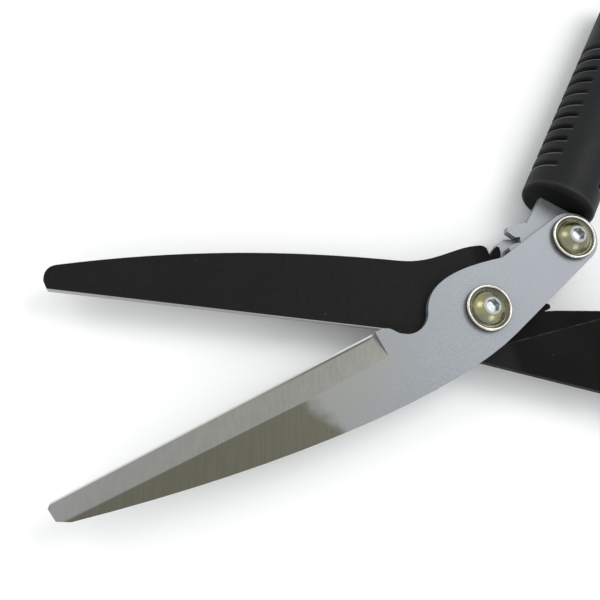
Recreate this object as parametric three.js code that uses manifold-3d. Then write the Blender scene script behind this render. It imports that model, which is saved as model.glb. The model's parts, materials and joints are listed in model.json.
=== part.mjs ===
// Grass shears with a geared upper handle, drawn in millimetres with +Z up.
// The shears lie on their back: both blades are flat in the XY plane and point towards -X.
// The black lever carries the lower handle. The silver blade turns on it about the main pivot.
// The upper handle turns on the silver blade about the link pivot, and its toothed tang rolls
// on the toothed shoulder of the black blade.
import * as THREE from 'three';
import { mergeVertices } from 'three/addons/utils/BufferGeometryUtils.js';
import Module from 'manifold-3d';

const wasm = await Module();
wasm.setup();

// ---- clearances and plates -------------------------------------------------
const GAP = 0.3;
const SILVER_THICKNESS = 3;
const LEVER_THICKNESS = 3.5;
const REAR_THICKNESS = 3;
const LEVER_TOP = LEVER_THICKNESS / 2;
const LEVER_BOTTOM = -LEVER_TOP;
const SILVER_BOTTOM = LEVER_TOP + GAP;
const SILVER_TOP = SILVER_BOTTOM + SILVER_THICKNESS;
const REAR_TOP = LEVER_BOTTOM - GAP;
const REAR_BOTTOM = REAR_TOP - REAR_THICKNESS;

// ---- gear pair -------------------------------------------------------------
const GEAR_MODULE = 2.5;
const LEVER_TEETH = 21;
const TANG_TEETH = 20;
const PRESSURE_ANGLE = degrees(20);
const BACKLASH = 0.4;
const ADDENDUM = GEAR_MODULE;
const DEDENDUM = 1.25 * GEAR_MODULE;
const FIRST_LEVER_TOOTH = degrees(73.4);
const LEVER_TOOTH_COUNT = 5;
const TANG_TOOTH_COUNT = 4;
const LEVER_PITCH_RADIUS = GEAR_MODULE * LEVER_TEETH / 2;
const TANG_PITCH_RADIUS = GEAR_MODULE * TANG_TEETH / 2;
const LEVER_TIP_RADIUS = LEVER_PITCH_RADIUS + ADDENDUM;
const TANG_TIP_RADIUS = TANG_PITCH_RADIUS + ADDENDUM;

// ---- pivots ----------------------------------------------------------------
const PIVOT = new THREE.Vector2(0, 0);
const LINK_ANGLE = degrees(37.9);
const PIVOT_SPACING = LEVER_PITCH_RADIUS + TANG_PITCH_RADIUS;
const LINK = polar(PIVOT, PIVOT_SPACING, LINK_ANGLE);
const BOLT_RADIUS = 4;
const BOLT_HOLE = BOLT_RADIUS + GAP;
const BUSH_RADIUS = 6.5;
const BUSH_HOLE = BUSH_RADIUS + GAP;
const HEAD_RADIUS = 7.3;
const HEAD_HEIGHT = 4.4;
const SOCKET_WIDTH = 5;
const SOCKET_DEPTH = 2.6;
const CUP_RADIUS = 9.6;
const CUP_FLOOR = 1;
const CUP_RIM = 1.9;
const REAR_WASHER_RADIUS = 8;
const REAR_WASHER_THICKNESS = 1.5;
const NUT_WIDTH = 13;
const NUT_HEIGHT = 6.5;

// ---- blades ----------------------------------------------------------------
const EDGE_OFFSET = 12.5;
const SILVER_EDGE_ANGLE = degrees(27.5);
const BLACK_EDGE_ANGLE = degrees(-5.8);
const SILVER_EDGE_START = 46.5;
const SILVER_EDGE_END = 178.7;
const BLACK_EDGE_START = 30;
const BLACK_EDGE_END = 170;
const TIP_WIDTH = 9.4;
const GRIND_WIDTH = 10.8;
const GRIND_DEPTH = 2.4;
const TAPER_START = 76;
const TAPER_DEPTH = 0.7;
const BACK_STRAIGHT_ANGLE = degrees(42);
const BACK_STRAIGHT = 50;
const BACK_BEND = 35;
const BACK_RISE = 77;
const BACK_RISE_ANGLE = degrees(13);
const HEEL_PEAK = 4.2;
const LINK_END_RADIUS = 11.2;
const SHOULDER = new THREE.Vector2(8.2, 21.8);
const SHOULDER_ANGLE = degrees(35.4);
const NOTCH_CENTRE = new THREE.Vector2(-34.5, -1.5);
const NOTCH_RADIUS = 9.5;
const NOTCH_START_ANGLE = degrees(5);
const NOTCH_END_ANGLE = degrees(-119);
const SHOULDER_FALL = new THREE.Vector2(-16, -4);
const NOTCH_RISE = new THREE.Vector2(1, 13);
const REAR_PIVOT_RADIUS = 13;
const REAR_SHOULDER = [[22.1, 32.4], [12.7, 32.3], [9.5, 30], [4, 20]];

// The black blade's outline between its straight runs, measured from the main pivot
const BLACK_HEEL_BEND = new THREE.Vector2(-26, -10.5);
const BLACK_HEEL_END = new THREE.Vector2(-17, -15.5);
const BELLY_BEND = new THREE.Vector2(-10, -19.5);
const BELLY_END = new THREE.Vector2(-2, -21.2);
const HUMP_ANGLE = degrees(92);
const SADDLE_ANGLE = degrees(83);
const SADDLE_DEPTH = 1.8;
const HUMP_DEPTH = 1;
const HUMP_SLOPE = new THREE.Vector2(-10, -1);
const CREST_BEND = new THREE.Vector2(-20, 19.4);
const CREST = new THREE.Vector2(-34, 20.1);
const CREST_RISE = new THREE.Vector2(-82, 23.4);
const BLACK_TIP_RISE = 44;
const BLACK_TIP_RISE_ANGLE = degrees(9.6);
const BLANK_END_ANGLE = degrees(4);
const BLANK_END_STEP = new THREE.Vector2(2, 0.2);

// ---- handles ---------------------------------------------------------------
const GRIP_LENGTH = 118;
const GRIP_HALF_WIDTH = 16.2;
const GRIP_HALF_HEIGHT = 14;
const GRIP_RIM_RADIUS = 2.4;
const GRIP_FRONT_WALL = 4;
const CORE_HALF_WIDTH = 11.5;
const CORE_HALF_HEIGHT = 8.5;
const CORE_LENGTH = 100;
const TANG_REACH = 58;
const TANG_HALF_WIDTH = 8;
const TANG_LEFT = 8.5;
const TANG_RIGHT = -12.4;
const TANG_BOSS_RADIUS = 8.4;
const NECK = 1.4;
const SHANK_SHOULDER = -6;
const SHANK_BOTTOM = -GRIP_HALF_WIDTH;
const SHANK_TOP = 19.2;
const PIN_RADIUS = 2;
const PIN_STATIONS = [20, 46];
const GROOVE_COUNT = 11;
const GROOVE_PITCH = 6.65;
const GROOVE_FIRST = 13;
const GROOVE_WIDTH = 2.2;
const GROOVE_DEPTH = 1.6;
const GROOVE_HALF_SWEEP = degrees(52);
const CAP_THICKNESS = 4;
const CAP_SPIGOT = 8;
const CAP_RADIUS = 13;

const UPPER_HANDLE = {
  angle: degrees(62.4),
  start: 12,
  across: 9.8,
};
const LOWER_HANDLE = {
  angle: degrees(-13.6),
  start: 62,
  across: -4.6,
};
const UPPER_FRAME = handleFrame(LINK, UPPER_HANDLE);
const LOWER_FRAME = handleFrame(PIVOT, LOWER_HANDLE);

// ---- colours ---------------------------------------------------------------
const LOOKS = {
  plated: { color: 0xb3b7ba, roughness: 0.42, metalness: 0.75 },
  coated: { color: 0x232323, roughness: 0.55, metalness: 0.1 },
  zinc: { color: 0xb9b68c, roughness: 0.28, metalness: 0.9 },
  bright: { color: 0xc9cbcc, roughness: 0.25, metalness: 0.95 },
  bronze: { color: 0x9c7a45, roughness: 0.4, metalness: 0.8 },
  rubber: { color: 0x2a2b2d, roughness: 0.8, metalness: 0 },
  plastic: { color: 0x1c1c1e, roughness: 0.6, metalness: 0 },
};

// ---- small helpers ---------------------------------------------------------
function degrees(value) {
  return THREE.MathUtils.degToRad(value);
}

function polar(centre, radius, angle) {
  return new THREE.Vector2(centre.x + radius * Math.cos(angle), centre.y + radius * Math.sin(angle));
}

// A handle's own frame: s runs along it from its front face, c across it towards its left.
function handleFrame(pivot, handle) {
  const along = new THREE.Vector2(Math.cos(handle.angle), Math.sin(handle.angle));
  const left = new THREE.Vector2(-along.y, along.x);
  const origin = pivot.clone().addScaledVector(along, handle.start).addScaledVector(left, handle.across);
  return { angle: handle.angle, origin, along, left };
}

function handlePoint(frame, s, c) {
  return frame.origin.clone().addScaledVector(frame.along, s).addScaledVector(frame.left, c);
}

function toManifold(geometry) {
  const bare = geometry.clone();
  bare.deleteAttribute('normal');
  bare.deleteAttribute('uv');
  const welded = mergeVertices(bare, 1e-4);
  return new wasm.Manifold(new wasm.Mesh({
    numProp: 3,
    vertProperties: new Float32Array(welded.attributes.position.array),
    triVerts: new Uint32Array(welded.index.array),
  }));
}

function toGeometry(solid) {
  const mesh = solid.getMesh();
  const geometry = new THREE.BufferGeometry();
  geometry.setAttribute('position', new THREE.BufferAttribute(new Float32Array(mesh.vertProperties), 3));
  geometry.setIndex(new THREE.BufferAttribute(new Uint32Array(mesh.triVerts), 1));
  return geometry;
}

function cut(geometry, cutters) {
  let solid = toManifold(geometry);
  for (const cutter of cutters) {
    solid = solid.subtract(toManifold(cutter));
  }
  return toGeometry(solid);
}

// An outline extruded between two heights.
function slab(shape, bottom, top, curveSegments = 16) {
  const options = { depth: top - bottom, bevelEnabled: false, curveSegments };
  return new THREE.ExtrudeGeometry(shape, options).translate(0, 0, bottom);
}

function cylinder(radius, centre, bottom, top, segments = 32) {
  const solid = new THREE.CylinderGeometry(radius, radius, top - bottom, segments);
  return solid.rotateX(Math.PI / 2).translate(centre.x, centre.y, (bottom + top) / 2);
}

function hexPrism(acrossFlats, centre, bottom, top) {
  return cylinder(acrossFlats / Math.sqrt(3), centre, bottom, top, 6);
}

// A profile of (radius, height) points turned about the Z axis at a centre.
function turned(profile, centre, segments = 48) {
  const points = profile.map(([radius, height]) => new THREE.Vector2(radius, height));
  return new THREE.LatheGeometry(points, segments).rotateX(Math.PI / 2).translate(centre.x, centre.y, 0);
}

function node(name, geometry, look) {
  const flat = geometry.index ? geometry.toNonIndexed() : geometry;
  flat.deleteAttribute('normal');
  flat.computeVertexNormals();
  const mesh = new THREE.Mesh(flat, new THREE.MeshStandardMaterial(look));
  mesh.name = name;
  return mesh;
}

// ---- gear teeth ------------------------------------------------------------
// Points of a run of involute teeth, counter-clockwise, from the first tooth angle to the last.
function toothRun(centre, toothCount, angles) {
  const pitchRadius = GEAR_MODULE * toothCount / 2;
  const baseRadius = pitchRadius * Math.cos(PRESSURE_ANGLE);
  const rootRadius = pitchRadius - DEDENDUM;
  const tipRadius = pitchRadius + ADDENDUM;
  const involute = (radius) => {
    const pressure = Math.acos(Math.min(1, baseRadius / radius));
    return Math.tan(pressure) - pressure;
  };
  const halfAtPitch = Math.PI / (2 * toothCount) - BACKLASH / (2 * pitchRadius);
  const halfAngle = (radius) => halfAtPitch + involute(pitchRadius) - involute(Math.max(radius, baseRadius));
  const flank = [rootRadius];
  for (let step = 0; step <= 4; step += 1) {
    flank.push(baseRadius + (tipRadius - baseRadius) * step / 4);
  }
  const points = [];
  for (const angle of angles) {
    flank.forEach((radius) => points.push(polar(centre, radius, angle - halfAngle(radius))));
    flank.toReversed().forEach((radius) => points.push(polar(centre, radius, angle + halfAngle(radius))));
  }
  return points;
}

function leverToothAngles() {
  const pitch = 2 * Math.PI / LEVER_TEETH;
  const last = FIRST_LEVER_TOOTH - (LEVER_TOOTH_COUNT - 1) * pitch;
  return Array.from({ length: LEVER_TOOTH_COUNT }, (_, i) => last + i * pitch);
}

// The tang's teeth fall in the gaps of the lever's teeth on the line between the two pivots.
function tangToothAngles() {
  const leverPitch = 2 * Math.PI / LEVER_TEETH;
  const tangPitch = 2 * Math.PI / TANG_TEETH;
  const lead = THREE.MathUtils.euclideanModulo(FIRST_LEVER_TOOTH - LINK_ANGLE, leverPitch);
  const gapAngle = LINK_ANGLE + Math.PI - lead * LEVER_TEETH / TANG_TEETH;
  const first = gapAngle - 1.5 * tangPitch;
  return Array.from({ length: TANG_TOOTH_COUNT }, (_, i) => first + i * tangPitch);
}

// ---- blades ----------------------------------------------------------------
// Points on a blade's straight cutting edge, measured outwards from the main pivot.
function edgePoint(angle, side, distance, inward = 0) {
  const along = new THREE.Vector2(-Math.cos(angle), -Math.sin(angle));
  const across = new THREE.Vector2(-along.y, along.x).multiplyScalar(side);
  return new THREE.Vector2().addScaledVector(along, distance).addScaledVector(across, EDGE_OFFSET - inward);
}

function silverPoint(distance, inward = 0) {
  return edgePoint(SILVER_EDGE_ANGLE, -1, distance, inward);
}

function blackPoint(distance, inward = 0) {
  return edgePoint(BLACK_EDGE_ANGLE, 1, distance, inward);
}

function silverOutline() {
  const backRun = new THREE.Vector2(Math.cos(BACK_STRAIGHT_ANGLE), Math.sin(BACK_STRAIGHT_ANGLE));
  const tangentBack = polar(LINK, LINK_END_RADIUS, BACK_STRAIGHT_ANGLE - Math.PI / 2);
  const backStart = tangentBack.clone().addScaledVector(backRun, -BACK_STRAIGHT);
  const backControl = backStart.clone().addScaledVector(backRun, -BACK_BEND);
  const tipTop = silverPoint(SILVER_EDGE_END);
  const tipNose = silverPoint(SILVER_EDGE_END + 1.6, 1.6);
  const tipHeel = silverPoint(SILVER_EDGE_END + 0.8, 6.8);
  const tipBack = silverPoint(SILVER_EDGE_END - 3.6, TIP_WIDTH);
  const backRise = tipBack.clone().add(polar(PIVOT, BACK_RISE, BACK_RISE_ANGLE));
  const heel = silverPoint(SILVER_EDGE_START);
  const shape = new THREE.Shape();
  shape.moveTo(heel.x, heel.y);
  shape.lineTo(tipTop.x, tipTop.y);
  shape.lineTo(tipNose.x, tipNose.y);
  shape.lineTo(tipHeel.x, tipHeel.y);
  shape.lineTo(tipBack.x, tipBack.y);
  shape.bezierCurveTo(backRise.x, backRise.y, backControl.x, backControl.y, backStart.x, backStart.y);
  const linkEndStart = BACK_STRAIGHT_ANGLE - Math.PI / 2;
  shape.absarc(LINK.x, LINK.y, LINK_END_RADIUS, linkEndStart, SHOULDER_ANGLE + Math.PI / 2);
  shape.lineTo(SHOULDER.x, SHOULDER.y);
  const notchTop = polar(NOTCH_CENTRE, NOTCH_RADIUS, NOTCH_START_ANGLE);
  const fall = SHOULDER.clone().add(SHOULDER_FALL);
  const rise = notchTop.clone().add(NOTCH_RISE);
  shape.bezierCurveTo(fall.x, fall.y, rise.x, rise.y, notchTop.x, notchTop.y);
  shape.absarc(NOTCH_CENTRE.x, NOTCH_CENTRE.y, NOTCH_RADIUS, NOTCH_START_ANGLE, NOTCH_END_ANGLE, true);
  const heelPeak = silverPoint(SILVER_EDGE_START - HEEL_PEAK, -0.4);
  shape.quadraticCurveTo(heelPeak.x + 1, heelPeak.y + 0.6, heel.x, heel.y);
  shape.holes.push(boltHole(PIVOT, BOLT_HOLE), boltHole(LINK, BOLT_HOLE));
  return shape;
}

function boltHole(centre, radius) {
  return new THREE.Path().absarc(centre.x, centre.y, radius, 0, 2 * Math.PI, true);
}

// A block whose lower face is the ground bevel beside the silver blade's cutting edge.
function grindCutter() {
  const slope = Math.atan2(GRIND_DEPTH, GRIND_WIDTH);
  const length = SILVER_EDGE_END - SILVER_EDGE_START + 30;
  const block = new THREE.BoxGeometry(length, 40, 10).translate(0, 20, 5);
  block.rotateX(-slope).rotateZ(SILVER_EDGE_ANGLE);
  const middle = silverPoint(SILVER_EDGE_START + length / 2, GRIND_WIDTH);
  return block.translate(middle.x, middle.y, SILVER_TOP);
}

// A block whose lower face thins the front of the silver blade towards its tip.
function taperCutter() {
  const length = SILVER_EDGE_END - TAPER_START;
  const slope = Math.atan2(TAPER_DEPTH, length);
  const block = new THREE.BoxGeometry(length + 30, 80, 10).translate(-(length + 30) / 2, 0, 5);
  block.rotateY(-slope).rotateZ(SILVER_EDGE_ANGLE);
  const start = silverPoint(TAPER_START, GRIND_WIDTH);
  return block.translate(start.x, start.y, SILVER_TOP);
}

function silverBlade() {
  const plate = slab(silverOutline(), SILVER_BOTTOM, SILVER_TOP);
  return node('silver_blade', cut(plate, [grindCutter(), taperCutter()]), LOOKS.plated);
}

function blackOutline() {
  const teeth = toothRun(PIVOT, LEVER_TEETH, leverToothAngles());
  const heel = blackPoint(BLACK_EDGE_START);
  const tip = blackPoint(BLACK_EDGE_END);
  const tipTop = blackPoint(BLACK_EDGE_END - 2, TIP_WIDTH + 0.4);
  const tipRise = tipTop.clone().add(polar(PIVOT, BLACK_TIP_RISE, BLACK_TIP_RISE_ANGLE));
  const hump = polar(PIVOT, LEVER_TIP_RADIUS - HUMP_DEPTH, HUMP_ANGLE);
  const saddle = polar(PIVOT, LEVER_TIP_RADIUS - SADDLE_DEPTH, SADDLE_ANGLE);
  const shankTop = handlePoint(LOWER_FRAME, SHANK_SHOULDER, SHANK_TOP);
  const shape = new THREE.Shape();
  shape.moveTo(heel.x, heel.y);
  shape.quadraticCurveTo(BLACK_HEEL_BEND.x, BLACK_HEEL_BEND.y, BLACK_HEEL_END.x, BLACK_HEEL_END.y);
  shape.quadraticCurveTo(BELLY_BEND.x, BELLY_BEND.y, BELLY_END.x, BELLY_END.y);
  for (const [s, c] of [
    [SHANK_SHOULDER, SHANK_BOTTOM],
    [-NECK, -TANG_HALF_WIDTH - 2],
    [GRIP_FRONT_WALL - GAP, -TANG_HALF_WIDTH - 2],
    [GRIP_FRONT_WALL - GAP, -TANG_HALF_WIDTH],
    [TANG_REACH, -TANG_HALF_WIDTH],
    [TANG_REACH, TANG_HALF_WIDTH],
    [GRIP_FRONT_WALL - GAP, TANG_HALF_WIDTH],
    [GRIP_FRONT_WALL - GAP, TANG_HALF_WIDTH + 2],
    [-NECK, TANG_HALF_WIDTH + 2],
  ]) {
    const point = handlePoint(LOWER_FRAME, s, c);
    shape.lineTo(point.x, point.y);
  }
  shape.lineTo(shankTop.x, shankTop.y);
  const blankEndAngle = leverToothAngles()[0] - BLANK_END_ANGLE;
  const blankEnd = polar(PIVOT, LEVER_TIP_RADIUS, blankEndAngle).add(BLANK_END_STEP);
  shape.lineTo(blankEnd.x, blankEnd.y);
  teeth.forEach((point) => shape.lineTo(point.x, point.y));
  shape.lineTo(saddle.x, saddle.y);
  shape.quadraticCurveTo(hump.x + 2.6, hump.y + 0.6, hump.x, hump.y);
  const slope = hump.clone().add(HUMP_SLOPE);
  shape.bezierCurveTo(slope.x, slope.y, CREST_BEND.x, CREST_BEND.y, CREST.x, CREST.y);
  shape.bezierCurveTo(CREST_RISE.x, CREST_RISE.y, tipRise.x, tipRise.y, tipTop.x, tipTop.y);
  shape.quadraticCurveTo(tip.x - 2, tipTop.y - 1, tip.x - 1.4, tip.y + 3);
  shape.lineTo(tip.x, tip.y);
  shape.lineTo(heel.x, heel.y);
  shape.holes.push(boltHole(PIVOT, BUSH_HOLE));
  return shape;
}

function pinHoles(frame) {
  return PIN_STATIONS.map((station) => cylinder(
    PIN_RADIUS + GAP / 2, handlePoint(frame, station, 0), -GRIP_HALF_HEIGHT, GRIP_HALF_HEIGHT, 24,
  ));
}

function blackBlade() {
  const plate = slab(blackOutline(), LEVER_BOTTOM, LEVER_TOP);
  return node('black_blade', cut(plate, pinHoles(LOWER_FRAME)), LOOKS.coated);
}

// The plate behind the teeth: it spans both pivots and covers the mesh.
function rearLinkPlate() {
  const shape = new THREE.Shape();
  shape.absarc(PIVOT.x, PIVOT.y, REAR_PIVOT_RADIUS, degrees(170), degrees(308));
  shape.absarc(LINK.x, LINK.y, LINK_END_RADIUS, degrees(308), degrees(460));
  for (const [x, y] of REAR_SHOULDER) {
    shape.lineTo(x, y);
  }
  shape.holes.push(boltHole(PIVOT, BOLT_HOLE), boltHole(LINK, BOLT_HOLE));
  return node('rear_link_plate', slab(shape, REAR_BOTTOM, REAR_TOP), LOOKS.plated);
}

// ---- upper tang ------------------------------------------------------------
// The stop claw beyond the teeth: a hooked tooth given as radius and degrees from its own middle.
const CLAW_TOP = [[19.6, -13], [24.4, -7.5], [TANG_TIP_RADIUS, -2.2], [TANG_TIP_RADIUS, 2.2], [24, 7]];
const CLAW_FOOT_ANGLE = 6.5;

function tangOutline() {
  const teeth = toothRun(LINK, TANG_TEETH, tangToothAngles());
  const rootRadius = TANG_PITCH_RADIUS - DEDENDUM;
  const claw = tangToothAngles()[0] - 2 * Math.PI / TANG_TEETH;
  const shape = new THREE.Shape();
  const start = handlePoint(UPPER_FRAME, TANG_REACH, TANG_HALF_WIDTH);
  shape.moveTo(start.x, start.y);
  for (const [s, c] of [
    [GRIP_FRONT_WALL - GAP, TANG_HALF_WIDTH],
    [GRIP_FRONT_WALL - GAP, TANG_LEFT],
    [-NECK, TANG_LEFT],
  ]) {
    const point = handlePoint(UPPER_FRAME, s, c);
    shape.lineTo(point.x, point.y);
  }
  for (const [radius, turn] of [...CLAW_TOP, [rootRadius, CLAW_FOOT_ANGLE]]) {
    const point = polar(LINK, radius, claw + degrees(turn));
    shape.lineTo(point.x, point.y);
  }
  teeth.forEach((point) => shape.lineTo(point.x, point.y));
  shape.absarc(LINK.x, LINK.y, TANG_BOSS_RADIUS, degrees(285), degrees(375));
  for (const [s, c] of [
    [-NECK, TANG_RIGHT],
    [GRIP_FRONT_WALL - GAP, TANG_RIGHT],
    [GRIP_FRONT_WALL - GAP, -TANG_HALF_WIDTH],
    [TANG_REACH, -TANG_HALF_WIDTH],
  ]) {
    const point = handlePoint(UPPER_FRAME, s, c);
    shape.lineTo(point.x, point.y);
  }
  shape.holes.push(boltHole(LINK, BUSH_HOLE));
  return shape;
}

function upperTang() {
  const plate = slab(tangOutline(), LEVER_BOTTOM, LEVER_TOP);
  return node('upper_tang', cut(plate, pinHoles(UPPER_FRAME)), LOOKS.plated);
}

// ---- handles ---------------------------------------------------------------
// Handle pieces are drawn with X along the handle, Y to its left and Z up, then moved into place.
function placed(geometry, frame) {
  return geometry.rotateZ(frame.angle).translate(frame.origin.x, frame.origin.y, 0);
}

function oval(halfWidth, halfHeight) {
  return new THREE.Shape().absellipse(0, 0, halfWidth, halfHeight, 0, 2 * Math.PI);
}

// A cross-section drawn as (left, up), extruded along X.
function bar(shape, start, end, curveSegments = 24) {
  const options = { depth: end - start, bevelEnabled: false, curveSegments };
  const turn = new THREE.Matrix4().makeBasis(
    new THREE.Vector3(0, 1, 0), new THREE.Vector3(0, 0, 1), new THREE.Vector3(1, 0, 0),
  );
  return new THREE.ExtrudeGeometry(shape, options).applyMatrix4(turn).translate(start, 0, 0);
}

function box(from, to) {
  const size = to.map((value, i) => value - from[i]);
  const middle = to.map((value, i) => (value + from[i]) / 2);
  return new THREE.BoxGeometry(...size).translate(...middle);
}

// The sleeve's outer body: an oval bar with a rounded rim at each end.
function sleeveBody() {
  const arcSteps = 6;
  const points = [new THREE.Vector2(0, 0)];
  for (let step = 0; step <= arcSteps; step += 1) {
    const angle = (Math.PI / 2) * step / arcSteps;
    const radius = GRIP_HALF_WIDTH - GRIP_RIM_RADIUS * (1 - Math.sin(angle));
    points.push(new THREE.Vector2(radius, GRIP_RIM_RADIUS * (1 - Math.cos(angle))));
  }
  for (let step = arcSteps; step >= 0; step -= 1) {
    const angle = (Math.PI / 2) * step / arcSteps;
    const radius = GRIP_HALF_WIDTH - GRIP_RIM_RADIUS * (1 - Math.sin(angle));
    points.push(new THREE.Vector2(radius, GRIP_LENGTH - GRIP_RIM_RADIUS * (1 - Math.cos(angle))));
  }
  points.push(new THREE.Vector2(0, GRIP_LENGTH));
  const turnedBar = new THREE.LatheGeometry(points, 48).rotateZ(-Math.PI / 2);
  return turnedBar.scale(1, 1, GRIP_HALF_HEIGHT / GRIP_HALF_WIDTH);
}

// One finger groove: a curved bar that bites into one side of the sleeve.
function grooveCutter(side, station) {
  const steps = 8;
  const middle = side > 0 ? 0 : Math.PI;
  const ring = (grow, angle) => new THREE.Vector2(
    (GRIP_HALF_WIDTH + grow) * Math.cos(angle), (GRIP_HALF_HEIGHT + grow) * Math.sin(angle),
  );
  const firstAngle = middle - GROOVE_HALF_SWEEP;
  const angles = Array.from({ length: steps + 1 }, (_, i) => firstAngle + 2 * GROOVE_HALF_SWEEP * i / steps);
  const inner = angles.map((angle) => ring(-GROOVE_DEPTH, angle));
  const outer = angles.toReversed().map((angle) => ring(2, angle));
  return bar(new THREE.Shape([...inner, ...outer]), station - GROOVE_WIDTH / 2, station + GROOVE_WIDTH / 2);
}

function gripSleeve(name, frame, slotLeft, slotRight) {
  const halfSlot = LEVER_TOP + GAP;
  const cutters = [
    bar(oval(CORE_HALF_WIDTH + GAP, CORE_HALF_HEIGHT + GAP), GRIP_FRONT_WALL, GRIP_LENGTH + 1),
    box([-1, slotRight - GAP, -halfSlot], [GRIP_FRONT_WALL + 1, slotLeft + GAP, halfSlot]),
  ];
  for (let index = 0; index < GROOVE_COUNT; index += 1) {
    const station = GROOVE_FIRST + index * GROOVE_PITCH;
    cutters.push(grooveCutter(1, station), grooveCutter(-1, station));
  }
  return node(name, placed(cut(sleeveBody(), cutters), frame), LOOKS.rubber);
}

function gripCore(name, frame) {
  const halfSlot = LEVER_TOP + GAP;
  const start = GRIP_FRONT_WALL + GAP;
  const body = bar(oval(CORE_HALF_WIDTH, CORE_HALF_HEIGHT), start, start + CORE_LENGTH);
  const slotSide = TANG_HALF_WIDTH + GAP;
  const slot = box([0, -slotSide, -halfSlot], [TANG_REACH + GAP, slotSide, halfSlot]);
  const holes = PIN_STATIONS.map((station) => cylinder(
    PIN_RADIUS + GAP / 2, new THREE.Vector2(station, 0), -GRIP_HALF_HEIGHT, GRIP_HALF_HEIGHT, 24,
  ));
  return node(name, placed(cut(body, [slot, ...holes]), frame), LOOKS.plastic);
}

function endCap(name, frame) {
  const spigotStart = GRIP_LENGTH - CAP_SPIGOT;
  const steps = 5;
  const points = [
    new THREE.Vector2(0, spigotStart),
    new THREE.Vector2(CORE_HALF_WIDTH - 0.4, spigotStart),
    new THREE.Vector2(CORE_HALF_WIDTH - 0.4, GRIP_LENGTH + GAP),
    new THREE.Vector2(CAP_RADIUS, GRIP_LENGTH + GAP),
  ];
  for (let step = 0; step <= steps; step += 1) {
    const angle = (Math.PI / 2) * step / steps;
    points.push(new THREE.Vector2(
      CAP_RADIUS - 3 * (1 - Math.cos(angle)), GRIP_LENGTH + GAP + 1 + (CAP_THICKNESS - 1) * Math.sin(angle),
    ));
  }
  points.push(new THREE.Vector2(0, GRIP_LENGTH + GAP + CAP_THICKNESS));
  const solid = new THREE.LatheGeometry(points, 48).rotateZ(-Math.PI / 2);
  return node(name, placed(solid.scale(1, 1, CORE_HALF_HEIGHT / CORE_HALF_WIDTH), frame), LOOKS.plastic);
}

function crossPin(name, frame, station) {
  const reach = CORE_HALF_HEIGHT - 0.4;
  return node(name, cylinder(PIN_RADIUS, handlePoint(frame, station, 0), -reach, reach, 24), LOOKS.bright);
}

function handlePieces(side, frame, slotLeft, slotRight) {
  return [
    gripSleeve(`${side}_grip`, frame, slotLeft, slotRight),
    gripCore(`${side}_grip_core`, frame),
    endCap(`${side}_end_cap`, frame),
    crossPin(`${side}_tang_pin_front`, frame, PIN_STATIONS[0]),
    crossPin(`${side}_tang_pin_rear`, frame, PIN_STATIONS[1]),
  ];
}

// ---- pivot stacks ----------------------------------------------------------
function boltHead(name, centre) {
  const seat = SILVER_TOP + GAP + CUP_FLOOR + GAP;
  const sphere = (HEAD_RADIUS ** 2 + HEAD_HEIGHT ** 2) / (2 * HEAD_HEIGHT);
  const foot = -GRIP_HALF_HEIGHT;
  const profile = [[0, foot], [BOLT_RADIUS, foot], [BOLT_RADIUS, seat], [HEAD_RADIUS, seat]];
  const steps = 8;
  for (let step = 0; step < steps; step += 1) {
    const radius = HEAD_RADIUS * (1 - step / steps);
    profile.push([radius, seat + HEAD_HEIGHT - sphere + Math.sqrt(sphere ** 2 - radius ** 2)]);
  }
  profile.push([0, seat + HEAD_HEIGHT]);
  const top = seat + HEAD_HEIGHT;
  const solid = turned(profile, centre);
  return node(name, cut(solid, [hexPrism(SOCKET_WIDTH, centre, top - SOCKET_DEPTH, top + 1)]), LOOKS.zinc);
}

// The dished washer under a bolt head, with its raised bright rim.
function cupWasher(name, centre) {
  const base = SILVER_TOP + GAP;
  const profile = [
    [BOLT_HOLE, base],
    [CUP_RADIUS, base],
    [CUP_RADIUS, base + CUP_RIM - 0.6],
    [CUP_RADIUS - 0.6, base + CUP_RIM],
    [CUP_RADIUS - 1.2, base + CUP_RIM],
    [CUP_RADIUS - 1.8, base + CUP_FLOOR],
    [BOLT_HOLE, base + CUP_FLOOR],
    [BOLT_HOLE, base],
  ];
  return node(name, turned(profile, centre), LOOKS.bright);
}

function ring(name, centre, innerRadius, outerRadius, bottom, top, look) {
  const profile = [
    [innerRadius, bottom],
    [outerRadius, bottom],
    [outerRadius, top],
    [innerRadius, top],
    [innerRadius, bottom],
  ];
  return node(name, turned(profile, centre), look);
}

function hexNut(name, centre) {
  const top = REAR_BOTTOM - 2 * GAP - REAR_WASHER_THICKNESS;
  const body = hexPrism(NUT_WIDTH, centre, top - NUT_HEIGHT, top);
  return node(name, cut(body, [cylinder(BOLT_HOLE, centre, top - NUT_HEIGHT - 1, top + 1)]), LOOKS.zinc);
}

function pivotStack(prefix, centre) {
  const washerTop = REAR_BOTTOM - GAP;
  return [
    boltHead(`${prefix}_bolt`, centre),
    cupWasher(`${prefix}_washer`, centre),
    ring(`${prefix}_bush`, centre, BOLT_HOLE, BUSH_RADIUS, LEVER_BOTTOM, LEVER_TOP, LOOKS.bronze),
    ring(`${prefix}_rear_washer`, centre, BOLT_HOLE, REAR_WASHER_RADIUS,
      washerTop - REAR_WASHER_THICKNESS, washerTop, LOOKS.zinc),
    hexNut(`${prefix}_nut`, centre),
  ];
}

// ---- assembly --------------------------------------------------------------
const shears = new THREE.Group();
shears.name = 'grass_shears';
shears.add(
  silverBlade(),
  blackBlade(),
  rearLinkPlate(),
  upperTang(),
  ...handlePieces('upper', UPPER_FRAME, TANG_LEFT, TANG_RIGHT),
  ...handlePieces('lower', LOWER_FRAME, TANG_HALF_WIDTH + 2, -TANG_HALF_WIDTH - 2),
  ...pivotStack('pivot', PIVOT),
  ...pivotStack('link', LINK),
);

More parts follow.
